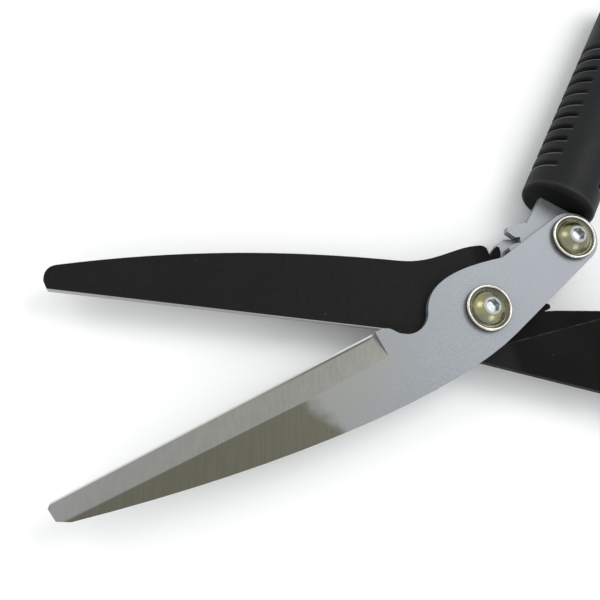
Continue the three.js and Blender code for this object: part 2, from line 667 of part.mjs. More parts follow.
// The origin sits under the middle of the shears, on the surface they lie on.
const bounds = new THREE.Box3().setFromObject(shears);
const middle = bounds.getCenter(new THREE.Vector3());
shears.children.forEach((mesh) => mesh.geometry.translate(-middle.x, -middle.y, -bounds.min.z));

export default shears;
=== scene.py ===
import json
import math

import bmesh
import bpy
from mathutils import Matrix, Vector


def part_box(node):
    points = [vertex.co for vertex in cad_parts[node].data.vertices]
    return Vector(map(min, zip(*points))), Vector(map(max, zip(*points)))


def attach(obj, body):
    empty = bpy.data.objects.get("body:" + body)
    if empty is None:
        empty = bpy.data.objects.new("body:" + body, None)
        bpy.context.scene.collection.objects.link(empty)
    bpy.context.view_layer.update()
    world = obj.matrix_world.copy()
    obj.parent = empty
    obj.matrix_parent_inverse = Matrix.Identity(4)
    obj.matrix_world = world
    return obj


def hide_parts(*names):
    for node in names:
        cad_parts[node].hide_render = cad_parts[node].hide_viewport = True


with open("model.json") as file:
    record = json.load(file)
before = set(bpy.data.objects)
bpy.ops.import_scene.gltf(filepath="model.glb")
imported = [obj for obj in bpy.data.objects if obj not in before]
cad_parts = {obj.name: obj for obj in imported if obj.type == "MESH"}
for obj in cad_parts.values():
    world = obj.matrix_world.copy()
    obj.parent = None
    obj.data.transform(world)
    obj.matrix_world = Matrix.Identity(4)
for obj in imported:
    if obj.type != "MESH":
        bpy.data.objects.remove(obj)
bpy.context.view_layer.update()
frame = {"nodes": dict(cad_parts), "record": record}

MM = 0.001
JOINTS = {joint["name"]: Vector(joint["pos_m"]) for joint in frame["record"]["behaviour"]["joints"]}
PIVOT = JOINTS["blade_pivot"]
LINK = JOINTS["upper_handle_pivot"]

# Blade layout, measured from the main pivot
SILVER_EDGE_ANGLE = math.radians(27.5)
BLACK_EDGE_ANGLE = math.radians(-5.8)
EDGE_OFFSET = 12.5 * MM
HEEL_DISTANCE = 46.5 * MM
CREASE_ANGLE = math.radians(14.7)
CREASE_POINT = Vector((12.5, -12.4, 0)) * MM

# Grips
GRIP_LENGTH = 118 * MM
GRIP_HALF_WIDTH = 16.2 * MM
GRIP_HALF_HEIGHT = 14 * MM
GRIP_RIM = 2.4 * MM
GRIP_FRONT_WALL = 4 * MM
CORE_HALF_WIDTH = 11.8 * MM
CORE_HALF_HEIGHT = 8.8 * MM
SLOT_HALF_HEIGHT = 2.05 * MM
UPPER_SLOT = (-12.7 * MM, 8.8 * MM)
LOWER_SLOT = (-10.3 * MM, 10.3 * MM)
GROOVE_COUNT = 11
GROOVE_PITCH = 6.65 * MM
GROOVE_FIRST = 13 * MM
GROOVE_HALF_WIDTH = 1.25 * MM
GROOVE_DEPTH = 1.6 * MM
GROOVE_HALF_SWEEP = math.radians(54)
UPPER_GRIP = {"pivot": LINK, "angle": math.radians(62.4), "start": 12 * MM, "across": 9.8 * MM}
LOWER_GRIP = {"pivot": PIVOT, "angle": math.radians(-13.6), "start": 62 * MM, "across": -4.6 * MM}

# Pivot hardware
HEAD_RADIUS = 7.3 * MM
HEAD_HEIGHT = 4.4 * MM
SOCKET_WIDTH = 5 * MM
SOCKET_DEPTH = 2.6 * MM
SOCKET_TURN = math.radians(12)
BOLT_RADIUS = 4 * MM
BORE_CLEARANCE = 0.3 * MM
THREAD_LENGTH = 11 * MM
THREAD_PITCH = 1.25 * MM
THREAD_DEPTH = 0.45 * MM
CUP_RADIUS = 9.6 * MM
CUP_RIM_RADIUS = 0.65 * MM
CUP_FLOOR_THICKNESS = 1 * MM
NUT_WIDTH = 13 * MM
NUT_CORNER_FALL = 0.55

# Rounding of the edges of the pieces that keep their CAD shape
PLATE_ROUNDING = 0.22 * MM
WASHER_ROUNDING = 0.25 * MM
BUSH_ROUNDING = 0.15 * MM
PLASTIC_ROUNDING = 0.3 * MM
PIN_ROUNDING = 0.2 * MM

# Tones used by more than one material
PLATING = (0.4, 0.41, 0.42)
RUBBED_PLATING = (0.52, 0.53, 0.54)
ZINC = (0.5, 0.48, 0.33)

# Camera: its angle off the vertical, the level direction it looks towards, its place from the main
# pivot, and its lens and sensor in millimetres
CAMERA_TILT = math.radians(18)
CAMERA_HEADING = Vector((0.53, 0.848, 0)).normalized()
CAMERA_OFFSET = Vector((-123.74, -74.15, 280.81)) * MM
CAMERA_LENS = 45.29
SENSOR_WIDTH = 36

# Stage: the surrounding light, and how far the floor lies below the shears
SKY_TINT = (0.97, 0.985, 1.0, 1)
SKY_STRENGTH = 0.85
FLOOR_GAP = 0.5 * MM


# ---- mesh helpers ------------------------------------------------------------
def smoothstep(low, high, value):
    t = min(1.0, max(0.0, (value - low) / (high - low)))
    return t * t * (3 - 2 * t)


def make_object(name, mesh):
    obj = bpy.data.objects.new(name, mesh)
    bpy.context.scene.collection.objects.link(obj)
    return obj


def finish_mesh(bm, name, sharp_angle=35):
    bmesh.ops.recalc_face_normals(bm, faces=bm.faces)
    mesh = bpy.data.meshes.new(name)
    bm.to_mesh(mesh)
    bm.free()
    for polygon in mesh.polygons:
        polygon.use_smooth = True
    mesh.set_sharp_from_angle(angle=math.radians(sharp_angle))
    return mesh


def lathe_mesh(name, profile, centre):
    """A closed profile of (radius, height) points turned about the vertical through centre."""
    segments = 96
    bm = bmesh.new()
    rings = []
    for radius, height in profile:
        if radius < 1e-7:
            rings.append([bm.verts.new((centre.x, centre.y, height))])
            continue
        turns = [2 * math.pi * index / segments for index in range(segments)]
        rings.append([
            bm.verts.new((centre.x + radius * math.cos(turn), centre.y + radius * math.sin(turn), height))
            for turn in turns
        ])
    for lower, upper in zip(rings, rings[1:]):
        for index in range(segments):
            following = (index + 1) % segments
            if len(lower) == 1:
                bm.faces.new((lower[0], upper[index], upper[following]))
            elif len(upper) == 1:
                bm.faces.new((lower[index], lower[following], upper[0]))
            else:
                bm.faces.new((lower[index], lower[following], upper[following], upper[index]))
    if len(rings[0]) > 1 and len(rings[-1]) > 1:
        for index in range(segments):
            following = (index + 1) % segments
            bm.faces.new((rings[-1][index], rings[-1][following], rings[0][following], rings[0][index]))
    return finish_mesh(bm, name)


def prism_object(name, outline, low, high):
    """A straight prism on an outline of (x, y) points, between two heights."""
    bm = bmesh.new()
    base = [bm.verts.new((x, y, low)) for x, y in outline]
    top = [bm.verts.new((x, y, high)) for x, y in outline]
    bm.faces.new(base)
    bm.faces.new(top)
    for index in range(len(outline)):
        following = (index + 1) % len(outline)
        bm.faces.new((base[index], base[following], top[following], top[index]))
    return make_object(name, finish_mesh(bm, name))


def hexagon(centre, across_flats, turn=0.0):
    radius = across_flats / math.sqrt(3)
    angles = [turn + math.pi * index / 3 for index in range(6)]
    return [(centre.x + radius * math.cos(angle), centre.y + radius * math.sin(angle)) for angle in angles]


def bake_modifiers(obj, sharp_angle=35):
    """Replaces an object's mesh by its modified one and removes the modifiers."""
    evaluated = obj.evaluated_get(bpy.context.evaluated_depsgraph_get())
    mesh = bpy.data.meshes.new_from_object(evaluated)
    obj.modifiers.clear()
    obj.data = mesh
    for polygon in mesh.polygons:
        polygon.use_smooth = True
    mesh.set_sharp_from_angle(angle=math.radians(sharp_angle))


def cut_away(obj, cutters, sharp_angle=35):
    for cutter in cutters:
        modifier = obj.modifiers.new("cut", "BOOLEAN")
        modifier.operation = "DIFFERENCE"
        modifier.solver = "EXACT"
        modifier.object = cutter
    bake_modifiers(obj, sharp_angle)
    for cutter in cutters:
        bpy.data.objects.remove(cutter, do_unlink=True)


def round_edges(obj, width):
    """Rounds the sharp edges of a piece and shades it smooth between them."""
    angle = math.radians(32)
    for polygon in obj.data.polygons:
        polygon.use_smooth = True
    obj.data.set_sharp_from_angle(angle=angle)
    modifier = obj.modifiers.new("rounded_edges", "BEVEL")
    modifier.width = width
    modifier.segments = 2
    modifier.limit_method = "ANGLE"
    modifier.angle_limit = angle
    modifier.harden_normals = True


# ---- material helpers ----------------------------------------------------------
class Look:
    """A node material under construction, with short names for the nodes it uses."""

    def __init__(self, name, color, roughness, metallic=0.0, **constants):
        self.material = bpy.data.materials.new(name)
        self.material.use_nodes = True
        self.tree = self.material.node_tree
        self.shader = self.tree.nodes["Principled BSDF"]
        self.shader.inputs["Base Color"].default_value = (*color, 1)
        self.shader.inputs["Roughness"].default_value = roughness
        self.shader.inputs["Metallic"].default_value = metallic
        for socket, value in constants.items():
            self.shader.inputs[socket.replace("_", " ")].default_value = value
        self.place = self.node("ShaderNodeTexCoord").outputs["Object"]
        self.normal = self.node("ShaderNodeTexCoord").outputs["Normal"]

    def node(self, kind, **settings):
        made = self.tree.nodes.new(kind)
        for key, value in settings.items():
            setattr(made, key, value)
        return made

    def link(self, source, target):
        self.tree.links.new(source, target)

    def feed(self, target, value):
        if isinstance(value, bpy.types.NodeSocket):
            self.link(value, target)
        else:
            target.default_value = value

    def math(self, operation, first, second=0.0):
        made = self.node("ShaderNodeMath", operation=operation)
        self.feed(made.inputs[0], first)
        self.feed(made.inputs[1], second)
        return made.outputs[0]

    def times(self, first, second):
        return self.math("MULTIPLY", first, second)

    def noise(self, scale, detail=4.0, roughness=0.55, stretch=None, turn=0.0):
        mapping = self.node("ShaderNodeMapping")
        mapping.inputs["Scale"].default_value = stretch or (1, 1, 1)
        mapping.inputs["Rotation"].default_value = (0, 0, turn)
        self.link(self.place, mapping.inputs["Vector"])
        made = self.node("ShaderNodeTexNoise")
        made.inputs["Scale"].default_value = scale
        made.inputs["Detail"].default_value = detail
        made.inputs["Roughness"].default_value = roughness
        self.link(mapping.outputs[0], made.inputs["Vector"])
        return made.outputs["Fac"]

    def remap(self, value, low, high, to_low=0.0, to_high=1.0):
        made = self.node("ShaderNodeMapRange", interpolation_type="SMOOTHSTEP")
        self.feed(made.inputs["Value"], value)
        made.inputs["From Min"].default_value = low
        made.inputs["From Max"].default_value = high
        made.inputs["To Min"].default_value = to_low
        made.inputs["To Max"].default_value = to_high
        return made.outputs["Result"]

    def band(self, value, rise, full, fade, end):
        """One between full and fade, and zero before rise and past end."""
        return self.times(self.remap(value, rise, full), self.remap(value, fade, end, 1.0, 0.0))

    def mix(self, factor, first, second):
        made = self.node("ShaderNodeMix", data_type="RGBA")
        self.feed(made.inputs[0], factor)
        for socket, value in ((made.inputs[6], first), (made.inputs[7], second)):
            self.feed(socket, value if isinstance(value, bpy.types.NodeSocket) else (*value, 1))
        return made.outputs[2]

    def blend(self, factor, first, second):
        made = self.node("ShaderNodeMix", data_type="FLOAT")
        self.feed(made.inputs[0], factor)
        self.feed(made.inputs[2], first)
        self.feed(made.inputs[3], second)
        return made.outputs[0]

    def distance_along(self, point, direction):
        """How far the shaded point lies from a point, counted along a direction."""
        offset = self.node("ShaderNodeVectorMath", operation="SUBTRACT")
        self.link(self.place, offset.inputs[0])
        offset.inputs[1].default_value = point
        made = self.node("ShaderNodeVectorMath", operation="DOT_PRODUCT")
        self.link(offset.outputs[0], made.inputs[0])
        made.inputs[1].default_value = direction
        return made.outputs["Value"]

    def distance_from_axis(self, centre):
        """How far the shaded point lies from the vertical line through a centre."""
        east = self.distance_along(centre, Vector((1, 0, 0)))
        north = self.distance_along(centre, Vector((0, 1, 0)))
        squares = self.math("ADD", self.times(east, east), self.times(north, north))
        return self.math("SQRT", squares)

    def facing_up(self):
        parts = self.node("ShaderNodeSeparateXYZ")
        self.link(self.normal, parts.inputs[0])
        return parts.outputs["Z"]

    def colour(self, value):
        self.link(value, self.shader.inputs["Base Color"])

    def rough(self, value):
        self.link(value, self.shader.inputs["Roughness"])

    def metal(self, value):
        self.link(value, self.shader.inputs["Metallic"])

    def bump(self, height, distance, strength=1.0):
        made = self.node("ShaderNodeBump")
        made.inputs["Strength"].default_value = strength
        made.inputs["Distance"].default_value = distance
        self.link(height, made.inputs["Height"])
        if self.shader.inputs["Normal"].is_linked:
            self.link(self.shader.inputs["Normal"].links[0].from_socket, made.inputs["Normal"])
        self.link(made.outputs[0], self.shader.inputs["Normal"])


# ---- materials -------------------------------------------------------------------
def plated_base(look):
    """Satin silver coating: fine metallic grain, faint mottling and a slight orange-peel surface."""
    grain = look.noise(2300, detail=3.0)
    cloud = look.noise(30, detail=2.0)
    cool = look.mix(look.remap(grain, 0.36, 0.66), (0.20, 0.218, 0.235), (0.30, 0.318, 0.33))
    return look.mix(look.remap(cloud, 0.35, 0.65, 0.0, 0.3), cool, (0.225, 0.235, 0.262))


def plated_roughness(look):
    return look.remap(look.noise(2300, detail=3.0), 0.3, 0.7, 0.4, 0.52)


def plated_relief(look):
    look.bump(look.noise(4200, detail=2.0), 0.012 * MM, 0.4)


def wear_on_edges(look, coated, bare, amount=0.85):
    """Brightens the rounded rims of a plate, where the finish has rubbed thin."""
    up = look.math("ABSOLUTE", look.facing_up())
    rim = look.band(up, 0.12, 0.5, 0.8, 0.985)
    patches = look.remap(look.noise(240, detail=5.0), 0.38, 0.62)
    return look.mix(look.times(look.times(rim, patches), amount), coated, bare)


def silver_plate():
    look = Look("satin_silver_plate", PLATING, 0.42, 0.55)
    look.colour(wear_on_edges(look, plated_base(look), RUBBED_PLATING))
    look.rough(plated_roughness(look))
    plated_relief(look)
    return look.material


def silver_blade_finish():
    """The silver plate's coating, the lighter ground bevel along the edge and the darker thinned back."""
    look = Look("ground_silver_blade", PLATING, 0.4, 0.6)
    outward = Vector((-math.cos(SILVER_EDGE_ANGLE), -math.sin(SILVER_EDGE_ANGLE), 0))
    inward = Vector((-outward.y, outward.x, 0))
    reach = look.distance_along(PIVOT, outward)
    depth = look.distance_along(PIVOT - inward * EDGE_OFFSET, inward)
    facet = look.remap(reach, 80 * MM, 178 * MM, 10.8 * MM, 8.2 * MM)
    facet.node.interpolation_type = "LINEAR"
    below_facet = look.math("SUBTRACT", depth, facet)
    on_bevel = look.remap(below_facet, -0.25 * MM, 0.25 * MM, 1.0, 0.0)
    ragged = look.times(look.math("SUBTRACT", look.noise(95, detail=6.0), 0.5), 16 * MM)
    slant = look.times(below_facet, 0.35)
    edge_of_coat = look.math("ADD", look.math("ADD", reach, ragged), slant)
    thinned = look.times(
        look.remap(edge_of_coat, 79 * MM, 88 * MM),
        look.remap(below_facet, -0.2 * MM, 0.2 * MM),
    )
    past_heel = look.remap(reach, HEEL_DISTANCE - 0.4 * MM, HEEL_DISTANCE + 0.4 * MM)
    ground = look.times(on_bevel, past_heel)
    strokes = look.noise(900, detail=3.0, stretch=(1, 0.05, 1), turn=math.radians(-20))
    bevel_tone = look.mix(look.remap(strokes, 0.3, 0.7), (0.262, 0.264, 0.238), (0.292, 0.294, 0.266))
    tip_shade = look.remap(reach, 110 * MM, 178 * MM, 0.0, 0.55)
    bevel_tone = look.mix(tip_shade, bevel_tone, (0.23, 0.23, 0.228))
    back_tone = look.mix(look.remap(strokes, 0.3, 0.7), (0.128, 0.126, 0.096), (0.142, 0.140, 0.108))
    near_bevel = look.remap(below_facet, 2 * MM, 26 * MM, 0.9, 0.25)
    warmth = look.times(look.remap(reach, 22 * MM, 72 * MM), near_bevel)
    coat = look.mix(warmth, plated_base(look), (0.262, 0.265, 0.245))
    tone = look.mix(ground, coat, bevel_tone)
    tone = look.mix(thinned, tone, back_tone)
    land = look.times(
        look.remap(depth, 0.45 * MM, 0.75 * MM, 1.0, 0.0),
        look.remap(reach, HEEL_DISTANCE, HEEL_DISTANCE + 2 * MM),
    )
    burr = look.band(depth, 0.7 * MM, 1.0 * MM, 1.2 * MM, 1.7 * MM)
    burr = look.times(burr, look.remap(reach, HEEL_DISTANCE, HEEL_DISTANCE + 4 * MM))
    burr = look.times(burr, look.remap(reach, 60 * MM, 104 * MM, 1.0, 0.0))
    tone = look.mix(look.times(burr, 0.75), tone, (0.06, 0.06, 0.055))
    tone = look.mix(land, tone, (0.62, 0.62, 0.60))
    look.colour(wear_on_edges(look, tone, RUBBED_PLATING))
    bare = look.math("MAXIMUM", ground, thinned)
    look.metal(look.blend(bare, 0.55, 0.9))
    look.rough(look.blend(bare, plated_roughness(look), 0.36))
    plated_relief(look)
    look.bump(strokes, 0.01 * MM, 0.4)
    return look.material


def black_blade_finish():
    """Matte non-stick coating, with a bare strip along the cutting edge and a press-formed crease on the
    shank: the recess above it is a bump step darkened as painted shade, and its ridge carries a painted
    highlight.
    """
    look = Look("black_coated_blade", (0.01, 0.01, 0.01), 0.55, 0.0, Specular_IOR_Level=0.05)
    outward = Vector((-math.cos(BLACK_EDGE_ANGLE), -math.sin(BLACK_EDGE_ANGLE), 0))
    inward = Vector((outward.y, -outward.x, 0))
    reach = look.distance_along(PIVOT, outward)
    depth = look.distance_along(PIVOT - inward * EDGE_OFFSET, inward)
    speckle = look.noise(3200, detail=3.0)
    cloud = look.noise(60, detail=4.0)
    coat = look.mix(look.remap(speckle, 0.35, 0.7), (0.0085, 0.0085, 0.008), (0.0165, 0.0165, 0.0155))
    coat = look.mix(look.remap(cloud, 0.4, 0.7, 0.0, 0.5), coat, (0.0135, 0.014, 0.0135))
    along_crease = Vector((math.cos(CREASE_ANGLE), math.sin(CREASE_ANGLE), 0))
    above_crease = look.distance_along(PIVOT + CREASE_POINT, Vector((-along_crease.y, along_crease.x, 0)))
    past_pivot = look.distance_along(PIVOT + CREASE_POINT, along_crease)
    on_shank = look.remap(past_pivot, -8 * MM, -4 * MM)
    recess_and_painted_shade = look.times(on_shank, look.remap(above_crease, -0.1 * MM, 0.35 * MM))
    past_plate = look.remap(past_pivot, -6 * MM, 0.0)
    shank_coat = look.mix(look.remap(speckle, 0.35, 0.7), (0.0035, 0.0035, 0.0033), (0.007, 0.007, 0.0068))
    coat = look.mix(past_plate, coat, shank_coat)
    # painted shade: the recess above the crease is darkened as if its sloping face caught less light
    coat = look.mix(look.times(recess_and_painted_shade, 0.7), coat, (0.0015, 0.0015, 0.0014))
    # painted highlight: a light line along the crease ridge, as where its edge catches the light, broken into
    # rubbed patches
    ridge_highlight = look.band(above_crease, -0.5 * MM, -0.1 * MM, 0.1 * MM, 0.4 * MM)
    rubbed = look.remap(look.noise(150, detail=6.0), 0.42, 0.62)
    patchy = look.math("ADD", look.times(rubbed, 0.6), 0.25)
    ridge_highlight = look.times(look.times(ridge_highlight, on_shank), patchy)
    coat = look.mix(look.times(ridge_highlight, 0.4), coat, (0.09, 0.09, 0.088))
    flecks = look.remap(look.noise(330, detail=2.0), 0.765, 0.79)
    coat = look.mix(look.times(flecks, 0.5), coat, (0.2, 0.2, 0.19))
    on_edge = look.times(
        look.remap(depth, 0.12 * MM, 0.3 * MM, 1.0, 0.0),
        look.remap(reach, 38 * MM, 42 * MM),
    )
    tone = look.mix(on_edge, coat, (0.36, 0.36, 0.35))
    look.colour(wear_on_edges(look, tone, (0.20, 0.20, 0.195), 0.5))
    look.metal(look.blend(on_edge, 0.0, 0.85))
    look.rough(look.blend(on_edge, look.remap(cloud, 0.3, 0.7, 0.42, 0.56), 0.35))
    look.bump(speckle, 0.04 * MM, 0.5)
    step = look.times(recess_and_painted_shade, -1.0)
    look.bump(step, 0.4 * MM, 0.8)
    return look.material


def zinc_film(look):
    """Yellow-passivated zinc: an olive and straw film over bright metal."""
    film = look.noise(120, detail=3.0)
    tone = look.mix(look.remap(film, 0.35, 0.65), (0.235, 0.235, 0.165), (0.33, 0.315, 0.17))
    iridescent = look.remap(look.noise(70, detail=2.0), 0.5, 0.75, 0.0, 0.4)
    return look.mix(iridescent, tone, (0.22, 0.255, 0.225))


def yellow_zinc():
    look = Look("yellow_zinc", ZINC, 0.26, 0.95)
    look.colour(zinc_film(look))
    look.rough(look.remap(look.noise(900, detail=4.0), 0.3, 0.7, 0.2, 0.36))
    look.bump(look.noise(700, detail=3.0), 0.02 * MM, 0.4)
    return look.material


def bolt_finish(name, centre):
    """Yellow zinc with a rubbed bright ring round the socket and a painted shadow line where the dome meets
    its rim, for the shade in the gap to the cup washer.
    """
    look = Look(name, ZINC, 0.24, 0.95)
    radius = look.distance_from_axis(centre)
    ring = look.band(radius, 2.4 * MM, 2.75 * MM, 3.3 * MM, 3.8 * MM)
    inside = look.remap(radius, 2.6 * MM, 2.9 * MM, 1.0, 0.0)
    edge_gap_shade = look.remap(radius, HEAD_RADIUS - 0.7 * MM, HEAD_RADIUS - 0.2 * MM)
    tone = look.mix(inside, zinc_film(look), (0.30, 0.32, 0.33))
    tone = look.mix(look.times(ring, 0.8), tone, (0.66, 0.68, 0.68))
    # painted shade: the head's outer edge is darkened for the gap to the washer
    tone = look.mix(look.times(edge_gap_shade, 0.6), tone, (0.07, 0.068, 0.045))
    look.colour(tone)
    look.rough(look.remap(look.noise(900, detail=4.0), 0.3, 0.7, 0.2, 0.34))
    look.bump(look.noise(700, detail=3.0), 0.02 * MM, 0.4)
    return look.material


def cup_washer_finish():
    """Yellowed zinc, darkened in the sunken floor as painted shade under the bolt head, and rubbed bright
    along the rolled rim.
    """
    look = Look("cup_washer_finish", (0.3, 0.29, 0.24), 0.24, 0.95)
    height = look.distance_along(Vector((0, 0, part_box("pivot_washer")[1].z)), Vector((0, 0, 1)))
    film = look.remap(look.noise(140, detail=3.0), 0.35, 0.65)
    # painted shade: the sunken floor round the bolt head is yellowed zinc darkened for the shade there
    shaded_dish = look.mix(film, (0.105, 0.10, 0.075), (0.17, 0.162, 0.11))
    rubbed = look.mix(film, (0.42, 0.41, 0.36), (0.60, 0.59, 0.55))
    look.colour(look.mix(look.remap(height, -0.55 * MM, -0.12 * MM), shaded_dish, rubbed))
    look.rough(look.remap(look.noise(1100, detail=4.0), 0.3, 0.7, 0.18, 0.32))
    look.bump(look.noise(1300, detail=2.0), 0.012 * MM, 0.4)
    return look.material


def bright_steel():
    look = Look("bright_steel", (0.5, 0.49, 0.44), 0.2, 0.97)
    film = look.remap(look.noise(160, detail=3.0), 0.35, 0.65)
    look.colour(look.mix(film, (0.40, 0.39, 0.33), (0.52, 0.51, 0.47)))
    look.rough(look.remap(look.noise(1100, detail=4.0), 0.3, 0.7, 0.16, 0.32))
    look.bump(look.noise(1300, detail=2.0), 0.015 * MM, 0.4)
    return look.material


def bush_bronze():
    look = Look("bush_bronze", (0.45, 0.3, 0.13), 0.34, 0.95)
    film = look.remap(look.noise(300, detail=3.0), 0.35, 0.65)
    look.colour(look.mix(film, (0.40, 0.26, 0.11), (0.52, 0.36, 0.17)))
    look.rough(look.remap(look.noise(900), 0.3, 0.7, 0.28, 0.45))
    look.bump(look.noise(1500), 0.02 * MM, 0.4)
    return look.material


def grip_axes(grip):
    """The direction a handle points in, the direction to its left, and the middle of its front end."""
    heading = Vector((math.cos(grip["angle"]), math.sin(grip["angle"]), 0))
    sideways = Vector((-heading.y, heading.x, 0))
    return heading, sideways, grip["pivot"] + heading * grip["start"] + sideways * grip["across"]


def grip_rubber(name, grip):
    """Soft black rubber; the grooves are darkened as painted shade, each with one glossy edge carrying a
    painted highlight, the front face is darkened as painted shade and its rim carries a painted highlight.
    """
    look = Look(name, (0.012, 0.013, 0.014), 0.5, 0.0, Specular_IOR_Level=0.14)
    heading, sideways, origin = grip_axes(grip)
    station = look.distance_along(origin, heading)
    aside = look.math("ABSOLUTE", look.distance_along(origin, sideways))
    grain = look.noise(2400, detail=3.0)
    dust = look.noise(55, detail=5.0)
    tone = look.mix(look.remap(grain, 0.35, 0.7), (0.008, 0.0085, 0.009), (0.0145, 0.015, 0.0155))
    tone = look.mix(look.remap(dust, 0.45, 0.75, 0.0, 0.5), tone, (0.018, 0.019, 0.02))
    # Distance from the middle of the nearest groove, counted towards the far end of the grip
    from_first = look.math("SUBTRACT", station, GROOVE_FIRST - GROOVE_PITCH / 2)
    share_of_pitch = look.math("FRACT", look.math("DIVIDE", from_first, GROOVE_PITCH))
    in_pitch = look.times(share_of_pitch, GROOVE_PITCH)
    from_groove = look.math("SUBTRACT", in_pitch, GROOVE_PITCH / 2)
    ribs_end = GROOVE_PITCH * GROOVE_COUNT
    ribbed = look.band(from_first, 0.2 * MM, 0.6 * MM, ribs_end - 0.6 * MM, ribs_end)
    lip_reach = math.cos(GROOVE_HALF_SWEEP) * GRIP_HALF_WIDTH
    ribbed = look.times(ribbed, look.remap(aside, lip_reach - 0.2 * MM, lip_reach + 1.6 * MM))
    # painted shade: the middle of each groove is darkened
    groove_shade = look.math("SUBTRACT", 1.0, look.remap(look.math("ABSOLUTE", from_groove), 0.75 * MM, 1.15 * MM))
    tone = look.mix(look.times(groove_shade, ribbed), tone, (0.0016, 0.0016, 0.0018))
    # painted highlight: a light line along one edge of each groove; the lower roughness there is the real
    # gloss of that edge
    lip_gloss_and_highlight = look.times(look.band(from_groove, -1.9 * MM, -1.5 * MM, -1.15 * MM, -0.85 * MM), ribbed)
    tone = look.mix(look.times(lip_gloss_and_highlight, 0.8), tone, (0.15, 0.155, 0.16))
    # painted shade: the front end face is darkened
    front = look.remap(station, 1.1 * MM, 2.6 * MM, 1.0, 0.0)
    tone = look.mix(look.times(front, 0.8), tone, (0.0022, 0.0022, 0.002))
    # painted highlight: a lighter line round the rim between the side and the front face
    rim = look.band(station, 2.0 * MM, 2.8 * MM, 3.0 * MM, 4.4 * MM)
    tone = look.mix(look.times(rim, 0.5), tone, (0.028, 0.03, 0.032))
    look.colour(tone)
    look.rough(look.blend(lip_gloss_and_highlight, look.remap(dust, 0.3, 0.7, 0.46, 0.6), 0.3))
    look.bump(grain, 0.05 * MM, 0.5)
    return look.material


def moulded_plastic():
    look = Look("moulded_plastic", (0.012, 0.012, 0.013), 0.45)
    grain = look.noise(1700, detail=3.0)
    look.colour(look.mix(look.remap(grain, 0.35, 0.7), (0.011, 0.011, 0.012), (0.02, 0.02, 0.021)))
    look.rough(look.remap(look.noise(140), 0.3, 0.7, 0.38, 0.54))
    look.bump(grain, 0.04 * MM, 0.5)
    return look.material


# ---- pieces ------------------------------------------------------------------------
def dress(obj, material):
    obj.data.materials.clear()
    obj.data.materials.append(material)


def grip_shape(station, turn):
    """How far the sleeve's skin lies inside its full oval, at a station along it and a turn about it."""
    sunk = 0.0
    side = abs(math.remainder(turn, math.pi))
    around = smoothstep(GROOVE_HALF_SWEEP, GROOVE_HALF_SWEEP - math.radians(7), side)
    for index in range(GROOVE_COUNT):
        offset = abs(station - GROOVE_FIRST - index * GROOVE_PITCH)
        across = 1 - smoothstep(0.45 * GROOVE_HALF_WIDTH, 1.15 * GROOVE_HALF_WIDTH, offset)
        sunk = max(sunk, GROOVE_DEPTH * across)
    seam = 0.1 * MM * (1 - smoothstep(math.radians(0.8), math.radians(2.2), side))
    return 0.12 * MM + sunk * around - seam


def grip_stations():
    steps = 6
    rim = [GRIP_RIM * (1 - math.cos(math.pi / 2 * index / steps)) for index in range(steps)]
    spacing = 0.42 * MM
    count = int((GRIP_LENGTH - 2 * GRIP_RIM) / spacing)
    middle = [GRIP_RIM + (GRIP_LENGTH - 2 * GRIP_RIM) * index / count for index in range(count + 1)]
    return rim + middle + [GRIP_LENGTH - value for value in reversed(rim)]


def rim_inset(station):
    """How far the rounded rim draws the skin in near each end."""
    from_end = min(station, GRIP_LENGTH - station)
    if from_end >= GRIP_RIM:
        return 0.0
    return GRIP_RIM - math.sqrt(GRIP_RIM ** 2 - (GRIP_RIM - from_end) ** 2)


def grip_matrix(grip, centre_height):
    _, _, origin = grip_axes(grip)
    origin.z = centre_height
    return Matrix.Translation(origin) @ Matrix.Rotation(grip["angle"], 4, "Z")


def block(name, low, high):
    outline = [(low[0], low[1]), (high[0], low[1]), (high[0], high[1]), (low[0], high[1])]
    return prism_object(name, outline, low[2], high[2])


def oval_bar(name, start, end, half_width, half_height):
    segments = 64
    bm = bmesh.new()
    rings = []
    for x in (start, end):
        turns = [2 * math.pi * index / segments for index in range(segments)]
        rings.append([bm.verts.new((x, half_width * math.cos(t), half_height * math.sin(t))) for t in turns])
    bm.faces.new(rings[0])
    bm.faces.new(rings[1])
    for index in range(segments):
        following = (index + 1) % segments
        bm.faces.new((rings[0][index], rings[0][following], rings[1][following], rings[1][index]))
    return make_object(name, finish_mesh(bm, name))


def build_grip(name, node_name, body, grip, slot_right, slot_left):
    """The ribbed rubber sleeve, drawn along X and then laid on its handle."""
    segments = 144
    bm = bmesh.new()
    rings = []
    for station in grip_stations():
        inset = rim_inset(station)
        ring = []
        for index in range(segments):
            turn = 2 * math.pi * index / segments
            sunk = inset + grip_shape(station, turn)
            width = GRIP_HALF_WIDTH - sunk
            height = GRIP_HALF_HEIGHT - sunk
            ring.append(bm.verts.new((station, width * math.cos(turn), height * math.sin(turn))))
        rings.append(ring)
    bm.faces.new(rings[0])
    bm.faces.new(rings[-1])
    for before, after in zip(rings, rings[1:]):
        for index in range(segments):
            following = (index + 1) % segments
            bm.faces.new((before[index], before[following], after[following], after[index]))
    obj = make_object(name, finish_mesh(bm, name, 50))
    cavity = oval_bar("cavity", GRIP_FRONT_WALL, GRIP_LENGTH + 2 * MM, CORE_HALF_WIDTH, CORE_HALF_HEIGHT)
    slot_front = (-2 * MM, slot_right, -SLOT_HALF_HEIGHT)
    slot_back = (GRIP_FRONT_WALL + 1 * MM, slot_left, SLOT_HALF_HEIGHT)
    slot = block("slot", slot_front, slot_back)
    cut_away(obj, [cavity, slot], 50)
    low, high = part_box(node_name)
    obj.data.transform(grip_matrix(grip, (low.z + high.z) / 2))
    dress(obj, grip_rubber(f"{name}_finish", grip))
    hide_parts(node_name)
    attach(obj, body)


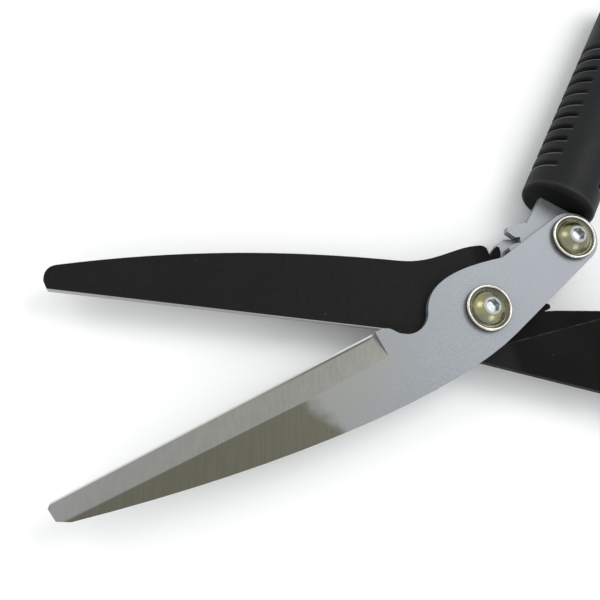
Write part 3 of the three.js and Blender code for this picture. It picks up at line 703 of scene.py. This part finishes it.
def build_bolt(name, node_name, centre, material):
    """Button-head bolt with a hexagon socket. Its thread is drawn as separate rings, not as a helix."""
    low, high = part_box(node_name)
    seat = high.z - HEAD_HEIGHT
    sphere = (HEAD_RADIUS ** 2 + HEAD_HEIGHT ** 2) / (2 * HEAD_HEIGHT)
    chamfer = 0.6 * MM
    profile = [(0, low.z), (BOLT_RADIUS - chamfer, low.z), (BOLT_RADIUS, low.z + chamfer)]
    thread_top = low.z + THREAD_LENGTH
    for index in range(int((thread_top - low.z - chamfer) / THREAD_PITCH)):
        start = low.z + chamfer + THREAD_PITCH * index
        profile.append((BOLT_RADIUS, start + 0.1 * THREAD_PITCH))
        profile.append((BOLT_RADIUS - THREAD_DEPTH, start + 0.5 * THREAD_PITCH))
        profile.append((BOLT_RADIUS, start + 0.9 * THREAD_PITCH))
    profile += [(BOLT_RADIUS, seat), (HEAD_RADIUS - 0.25 * MM, seat), (HEAD_RADIUS, seat + 0.25 * MM)]
    steps = 18
    dome_radius = HEAD_RADIUS - 0.02 * MM
    for index in range(1, steps):
        radius = dome_radius * math.cos(math.pi / 2 * index / steps)
        rise = HEAD_HEIGHT - sphere + math.sqrt(sphere ** 2 - radius ** 2)
        profile.append((radius, seat + max(rise, 0.3 * MM + 0.02 * MM * index)))
    profile.append((0, high.z))
    obj = make_object(name, lathe_mesh(name, profile, centre))
    socket_outline = hexagon(centre, SOCKET_WIDTH, SOCKET_TURN)
    socket = prism_object("socket", socket_outline, high.z - SOCKET_DEPTH, high.z + 1 * MM)
    foot, mouth = high.z - 0.5 * MM, high.z + 0.25 * MM
    lead = lathe_mesh("lead", [(0, foot), (2.55 * MM, foot), (3.3 * MM, mouth), (0, mouth)], centre)
    cut_away(obj, [socket, make_object("lead", lead)])
    dress(obj, material)
    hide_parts(node_name)
    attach(obj, "silver_lever")


def build_cup_washer(name, node_name, centre, material):
    """Dished washer: a bright rolled rim round a sunken floor."""
    low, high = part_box(node_name)
    base = low.z
    floor = base + CUP_FLOOR_THICKNESS
    inner = BOLT_RADIUS + BORE_CLEARANCE
    profile = [(inner, base), (CUP_RADIUS - 0.4 * MM, base), (CUP_RADIUS, base + 0.4 * MM)]
    middle = CUP_RADIUS - CUP_RIM_RADIUS
    rim_centre = high.z - CUP_RIM_RADIUS
    steps = 8
    for index in range(steps + 1):
        angle = math.pi * index / steps
        height = rim_centre + CUP_RIM_RADIUS * math.sin(angle)
        profile.append((middle + CUP_RIM_RADIUS * math.cos(angle), height))
    profile += [(CUP_RADIUS - 1.6 * MM, floor + 0.15 * MM), (CUP_RADIUS - 2 * MM, floor), (inner, floor)]
    obj = make_object(name, lathe_mesh(name, profile, centre))
    dress(obj, material)
    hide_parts(node_name)
    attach(obj, "silver_lever")


def build_nut(name, node_name, centre, material):
    """Hexagon nut with turned corners on both faces."""
    low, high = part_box(node_name)
    corner = NUT_WIDTH / math.sqrt(3)
    obj = prism_object(name, hexagon(centre, NUT_WIDTH, math.pi / 2), low.z, high.z)
    bore_radius = BOLT_RADIUS + BORE_CLEARANCE
    segments = 48
    turns = [2 * math.pi * index / segments for index in range(segments)]
    circle = [(centre.x + bore_radius * math.cos(t), centre.y + bore_radius * math.sin(t)) for t in turns]
    bore = prism_object("bore", circle, low.z - 1 * MM, high.z + 1 * MM)
    keep = corner - 1 * MM
    past = corner + 1 * MM
    cutters = [bore]
    for face, away in ((high.z, 1), (low.z, -1)):
        profile = [
            (keep, face + away * 0.001 * MM),
            (past, face - away * NUT_CORNER_FALL * (past - keep)),
            (past, face + away * 1 * MM),
            (keep, face + away * 1 * MM),
        ]
        cutters.append(make_object("turning", lathe_mesh("turning", profile, centre)))
    cut_away(obj, cutters)
    dress(obj, material)
    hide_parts(node_name)
    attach(obj, "silver_lever")


def dress_cad_nodes(looks):
    """The plates, washers, cores and pins keep their CAD shape, with rounded edges and their own finish."""
    nodes = frame["nodes"]
    dress(nodes["silver_blade"], silver_blade_finish())
    dress(nodes["black_blade"], black_blade_finish())
    for name in ("rear_link_plate", "upper_tang"):
        dress(nodes[name], looks["plate"])
    for name in ("silver_blade", "black_blade", "rear_link_plate", "upper_tang"):
        round_edges(nodes[name], PLATE_ROUNDING)
    for name in ("pivot_rear_washer", "link_rear_washer"):
        dress(nodes[name], looks["zinc"])
        round_edges(nodes[name], WASHER_ROUNDING)
    for name in ("pivot_bush", "link_bush"):
        dress(nodes[name], looks["bronze"])
        round_edges(nodes[name], BUSH_ROUNDING)
    for side in ("upper", "lower"):
        for part in ("grip_core", "end_cap"):
            dress(nodes[f"{side}_{part}"], looks["plastic"])
            round_edges(nodes[f"{side}_{part}"], PLASTIC_ROUNDING)
        for place in ("front", "rear"):
            dress(nodes[f"{side}_tang_pin_{place}"], looks["steel"])
            round_edges(nodes[f"{side}_tang_pin_{place}"], PIN_ROUNDING)


# ---- stage -------------------------------------------------------------------------
def build_floor():
    bm = bmesh.new()
    bmesh.ops.create_grid(bm, x_segments=1, y_segments=1, size=4)
    mesh = bpy.data.meshes.new("floor")
    bm.to_mesh(mesh)
    bm.free()
    floor = make_object("floor", mesh)
    floor.location.z = -FLOOR_GAP
    look = Look("pale_floor", (0.97, 0.97, 0.965), 0.8, Specular_IOR_Level=0.1)
    dress(floor, look.material)


def add_softbox(name, place, aim, size, power, tint=(1, 1, 1)):
    light = bpy.data.lights.new(name, "AREA")
    light.shape = "SQUARE"
    light.size = size
    light.energy = power
    light.color = tint
    obj = make_object(name, light)
    obj.location = place
    obj.rotation_mode = "QUATERNION"
    obj.rotation_quaternion = (Vector(aim) - Vector(place)).to_track_quat("-Z", "Y")


def build_lights():
    world = bpy.data.worlds.new("studio")
    world.use_nodes = True
    world.node_tree.nodes["Background"].inputs["Color"].default_value = SKY_TINT
    world.node_tree.nodes["Background"].inputs["Strength"].default_value = SKY_STRENGTH
    bpy.context.scene.world = world
    add_softbox("overhead_softbox", (0.42, 0.30, 0.75), (0.02, -0.03, 0), 0.5, 2.6)
    add_softbox("side_softbox", (-0.75, 0.35, 0.6), (-0.05, -0.03, 0), 0.45, 1.6)
    add_softbox("front_softbox", (0.25, -0.8, 0.5), (0.02, -0.02, 0), 0.35, 1.2)


def build_camera():
    """Looks down on the shears from beyond the blades' lower side, a little off the vertical."""
    forward = CAMERA_HEADING * math.sin(CAMERA_TILT) + Vector((0, 0, -math.cos(CAMERA_TILT)))
    turn = Matrix.Rotation(CAMERA_TILT, 3, Vector((CAMERA_HEADING.y, -CAMERA_HEADING.x, 0)))
    right, up = turn @ Vector((1, 0, 0)), turn @ Vector((0, 1, 0))
    camera = bpy.data.cameras.new("camera")
    camera.sensor_width = SENSOR_WIDTH
    camera.lens = CAMERA_LENS
    obj = make_object("camera", camera)
    place = PIVOT + CAMERA_OFFSET
    rotation = Matrix((right, up, -forward)).transposed()
    obj.matrix_world = Matrix.Translation(place) @ rotation.to_4x4()
    bpy.context.scene.camera = obj


def build_shears():
    looks = {
        "plate": silver_plate(),
        "zinc": yellow_zinc(),
        "steel": bright_steel(),
        "cup": cup_washer_finish(),
        "bronze": bush_bronze(),
        "plastic": moulded_plastic(),
    }
    dress_cad_nodes(looks)
    build_grip("upper_grip_rubber", "upper_grip", "upper_handle", UPPER_GRIP, *UPPER_SLOT)
    build_grip("lower_grip_rubber", "lower_grip", "lower_lever", LOWER_GRIP, *LOWER_SLOT)
    for prefix, centre in (("pivot", PIVOT), ("link", LINK)):
        finish = bolt_finish(f"{prefix}_bolt_finish", centre)
        build_bolt(f"{prefix}_button_bolt", f"{prefix}_bolt", centre, finish)
        build_cup_washer(f"{prefix}_cup_washer", f"{prefix}_washer", centre, looks["cup"])
        build_nut(f"{prefix}_hex_nut", f"{prefix}_nut", centre, looks["zinc"])


build_shears()
build_floor()
build_lights()
build_camera()
bpy.context.scene.view_settings.view_transform = "Standard"
